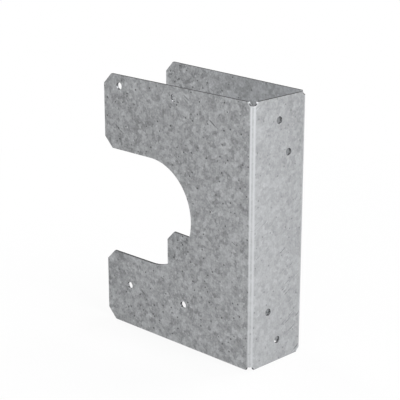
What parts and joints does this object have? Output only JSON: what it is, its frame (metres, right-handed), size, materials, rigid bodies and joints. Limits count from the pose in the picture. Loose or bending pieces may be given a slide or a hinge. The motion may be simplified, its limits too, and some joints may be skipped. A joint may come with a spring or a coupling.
{
  "type": "stud shoe",
  "caption": "Folded galvanised steel channel that slips over the notched edge of a wall stud and nails on, with a round-ended pipe notch through both flanges.",
  "frame": {"origin": "middle of the web's inner face, where the edge of the stud sits", "axes": "+X out of the web, away from the stud; -X out of the open side; +Z along the stud; +Y towards the rear flange"},
  "size_m": [0.1164, 0.051, 0.154],
  "materials": {
    "galvanised_sheet": "hot-dip galvanised with fine mottled spangle, satin"
  },
  "bodies": {
    "root": {"stud_shoe": "galvanised_sheet"}
  },
  "joints": []
}
